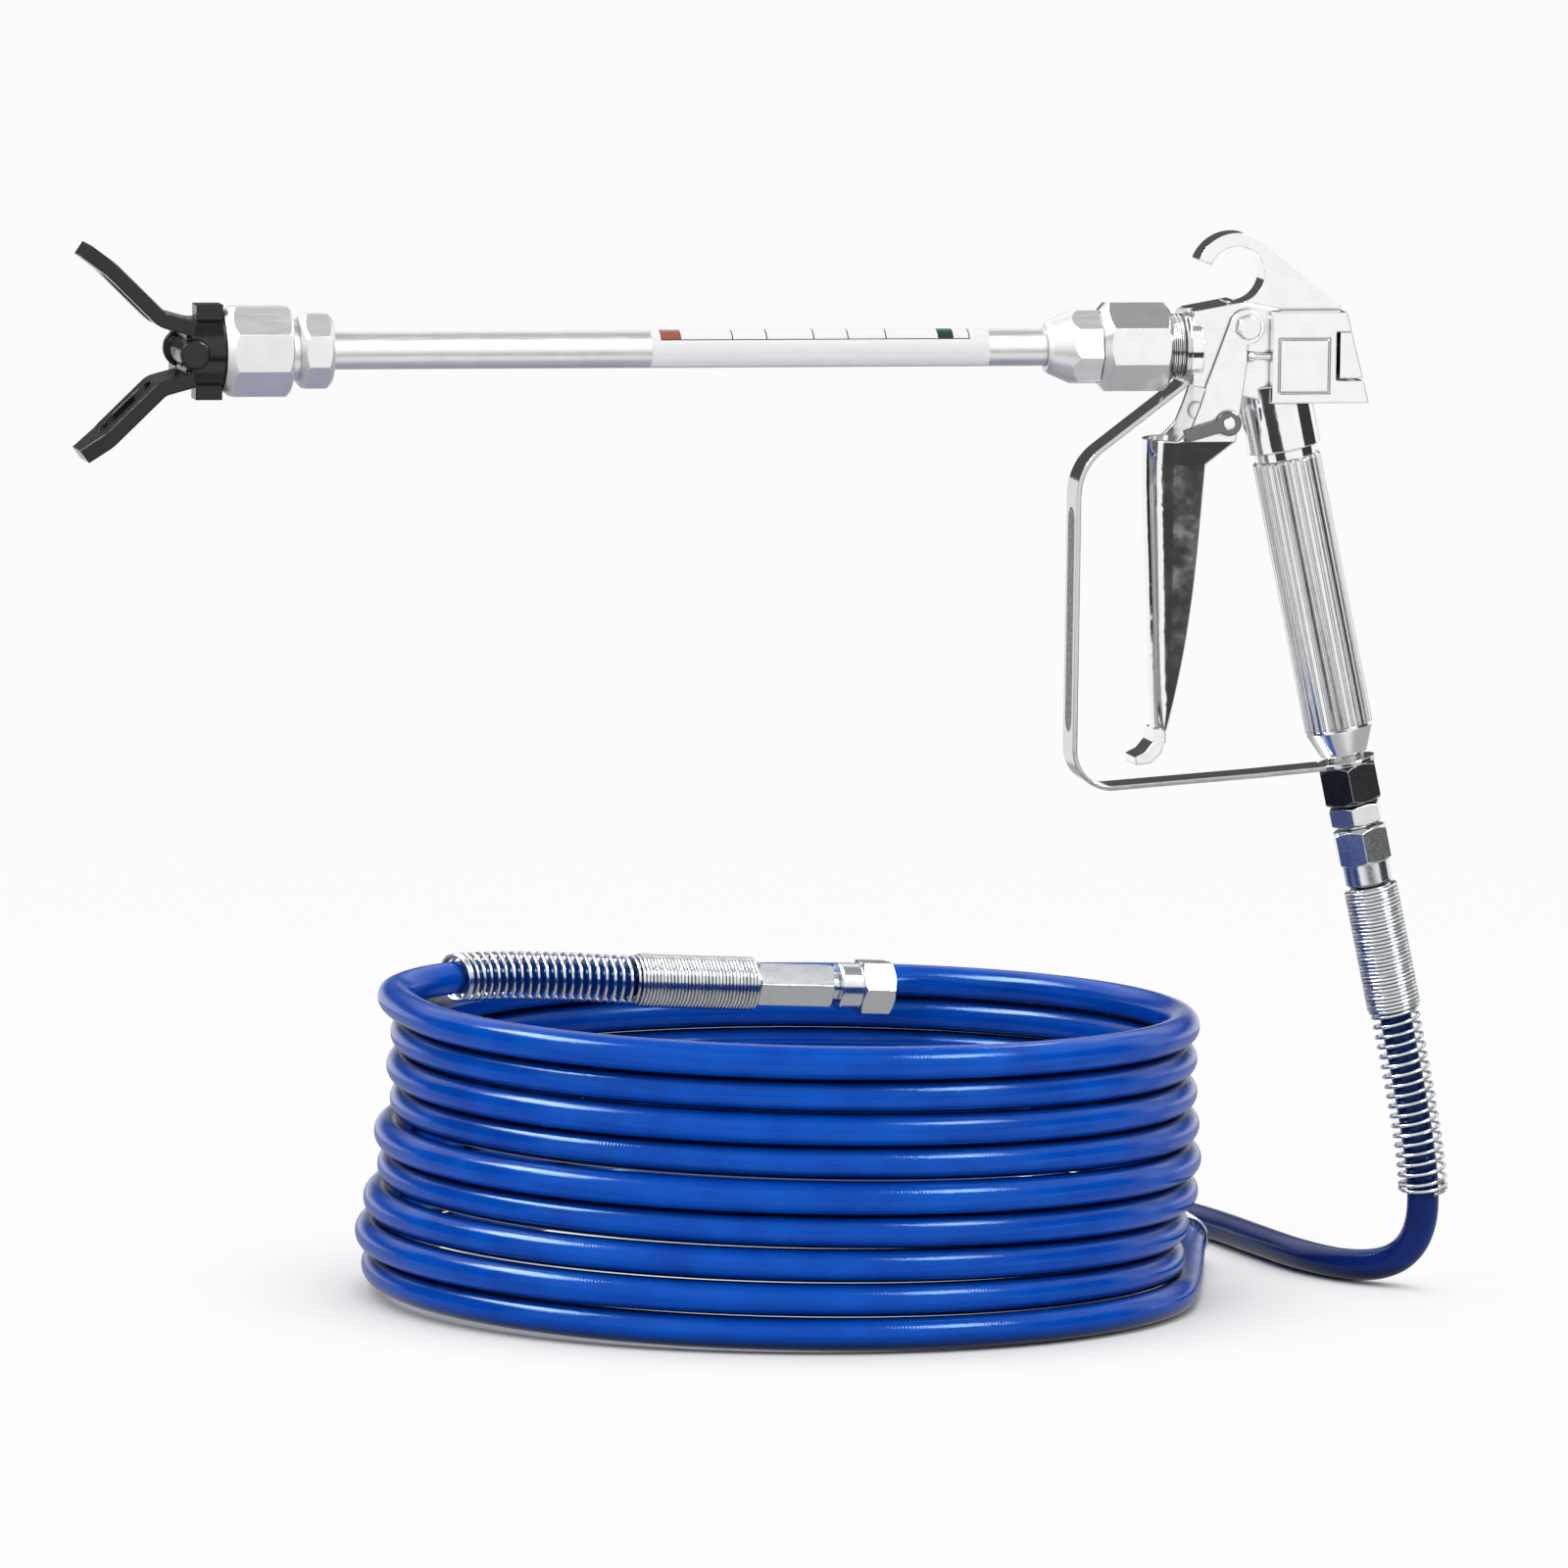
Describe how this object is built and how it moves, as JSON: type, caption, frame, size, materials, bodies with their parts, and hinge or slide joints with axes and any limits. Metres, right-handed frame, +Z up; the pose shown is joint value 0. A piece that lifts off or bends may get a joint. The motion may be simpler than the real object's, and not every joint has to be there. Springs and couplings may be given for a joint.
{
  "type": "airless paint sprayer gun",
  "caption": "Hand-held airless paint spray gun with hanging hook, trigger and guard, fluted grip, extension pole with tip guard, and a coiled high-pressure hose set.",
  "frame": {"origin": "middle of the grip, on the grip's axis", "axes": "+Z up with the gun upright, -X along the pole towards the spray tip, XZ is the gun's plane of symmetry, -Y is the side seen in the picture"},
  "size_m": [0.4774, 0.5211, 0.3639],
  "materials": {
    "chrome": "bright polished chrome plate",
    "lock_zinc": "zinc-plated pressed steel",
    "steel": "plain steel",
    "carbide": "ground carbide",
    "black_oxide": "black oxide with bright worn edges",
    "satin_fitting": "satin nickel plate",
    "grip_chrome": "satin chrome plate on a fluted sleeve",
    "pole_aluminium": "satin anodised",
    "label": "pale film with ruled blank cells",
    "seal": "dark seal material",
    "guard_plastic": "moulded, fine grain",
    "tip_plastic": "moulded handle on a steel barrel",
    "zinc": "zinc plate",
    "spring_wire": "bright drawn wire",
    "main_hose": "glossy bright blue sheath, fine ribs",
    "leader_hose": "navy sheath, fine ribs"
  },
  "bodies": {
    "gun": {"gun_body": "chrome", "outlet_fitting": "chrome", "valve_seat": "carbide", "needle_packing": "seal", "return_spring": "steel", "end_cap": "chrome", "pivot_screw": "chrome", "pivot_nut": "chrome", "trigger_guard": "chrome", "grip_core": "steel", "grip_sleeve": "grip_chrome", "grip_filter": "steel", "guard_lock_nut": "black_oxide", "swivel_adapter": "satin_fitting", "pole_rear_fitting": "pole_aluminium", "pole_seal": "seal", "pole_tube": "pole_aluminium", "pole_label": "label", "pole_front_fitting": "pole_aluminium", "leader_hose": "leader_hose", "leader_gun_stem": "zinc", "leader_gun_ferrule": "zinc", "leader_gun_spring": "spring_wire", "leader_join_stem": "zinc", "leader_join_ferrule": "zinc", "leader_join_spring": "spring_wire", "joining_nipple": "zinc", "main_join_stem": "zinc", "main_join_ferrule": "zinc", "main_join_spring": "spring_wire", "main_hose_lower": "main_hose", "hose_coil": "main_hose", "main_hose_upper": "main_hose", "pump_stem": "zinc", "pump_ferrule": "zinc", "pump_spring": "spring_wire"},
    "valve": {"actuator_pins": "chrome", "actuator_plate": "steel", "needle": "steel", "needle_nut": "steel"},
    "trigger": {"trigger": "chrome"},
    "lock": {"lock_lever": "lock_zinc", "lock_pin": "chrome"},
    "pole_nut": {"pole_nut": "satin_fitting"},
    "guard_nut": {"guard_nut": "pole_aluminium"},
    "guard": {"tip_guard": "guard_plastic", "tip_seat": "carbide", "seat_gasket": "seal"},
    "tip": {"spray_tip": "tip_plastic"},
    "leader_gun_nut": {"leader_gun_nut": "zinc"},
    "leader_join_nut": {"leader_join_nut": "zinc"},
    "main_join_nut": {"main_join_nut": "zinc"},
    "pump_nut": {"pump_nut": "zinc"}
  },
  "joints": [
    {"name": "trigger_pull", "type": "hinge", "parent": "gun", "child": "trigger", "pos_m": [-0.0274, 0, 0.0918], "axis": [0, -1, 0], "range_deg": [0, 11.2], "stiffness_Nm_per_rad": 4, "springref_deg": -2.86},
    {"name": "valve_slide", "type": "slide", "parent": "gun", "child": "valve", "axis": [1, 0, 0], "range_m": [0, 0.00196], "deforming": ["return_spring"]},
    {"name": "lock_turn", "type": "hinge", "parent": "trigger", "child": "lock", "pos_m": [-0.0337, 0, 0.0593], "axis": [0, 1, 0], "range_deg": [0, 80]},
    {"name": "pole_nut_spin", "type": "hinge", "parent": "gun", "child": "pole_nut", "pos_m": [-0.06, 0, 0.0842], "axis": [-1, 0, 0], "continuous": true},
    {"name": "guard_nut_spin", "type": "hinge", "parent": "gun", "child": "guard_nut", "pos_m": [-0.366, 0, 0.0842], "axis": [-1, 0, 0], "continuous": true},
    {"name": "guard_turn", "type": "hinge", "parent": "gun", "child": "guard", "pos_m": [-0.39, 0, 0.0842], "axis": [-1, 0, 0], "range_deg": [0, 90]},
    {"name": "tip_turn", "type": "hinge", "parent": "guard", "child": "tip", "pos_m": [-0.3885, 0, 0.0842], "axis": [0, 1, 0], "range_deg": [0, 180]},
    {"name": "leader_gun_nut_spin", "type": "hinge", "parent": "gun", "child": "leader_gun_nut", "pos_m": [0.01949, 0, -0.0894], "axis": [0.213, 0, -0.977], "continuous": true},
    {"name": "leader_join_nut_spin", "type": "hinge", "parent": "gun", "child": "leader_join_nut", "pos_m": [-0.08907, 0.18966, -0.2305], "axis": [-0.6947, 0.7193, 0], "continuous": true},
    {"name": "main_join_nut_spin", "type": "hinge", "parent": "gun", "child": "main_join_nut", "pos_m": [-0.0724, 0.1724, -0.2305], "axis": [0.6947, -0.7193, 0], "continuous": true},
    {"name": "pump_nut_spin", "type": "hinge", "parent": "gun", "child": "pump_nut", "pos_m": [-0.13043, 0.10869, -0.14727], "axis": [0.9876, 0.1476, -0.0532], "continuous": true}
  ],
  "couplings": [
    {"joint": "valve_slide", "follows": "trigger_pull", "m_per_rad": 0.01}
  ]
}
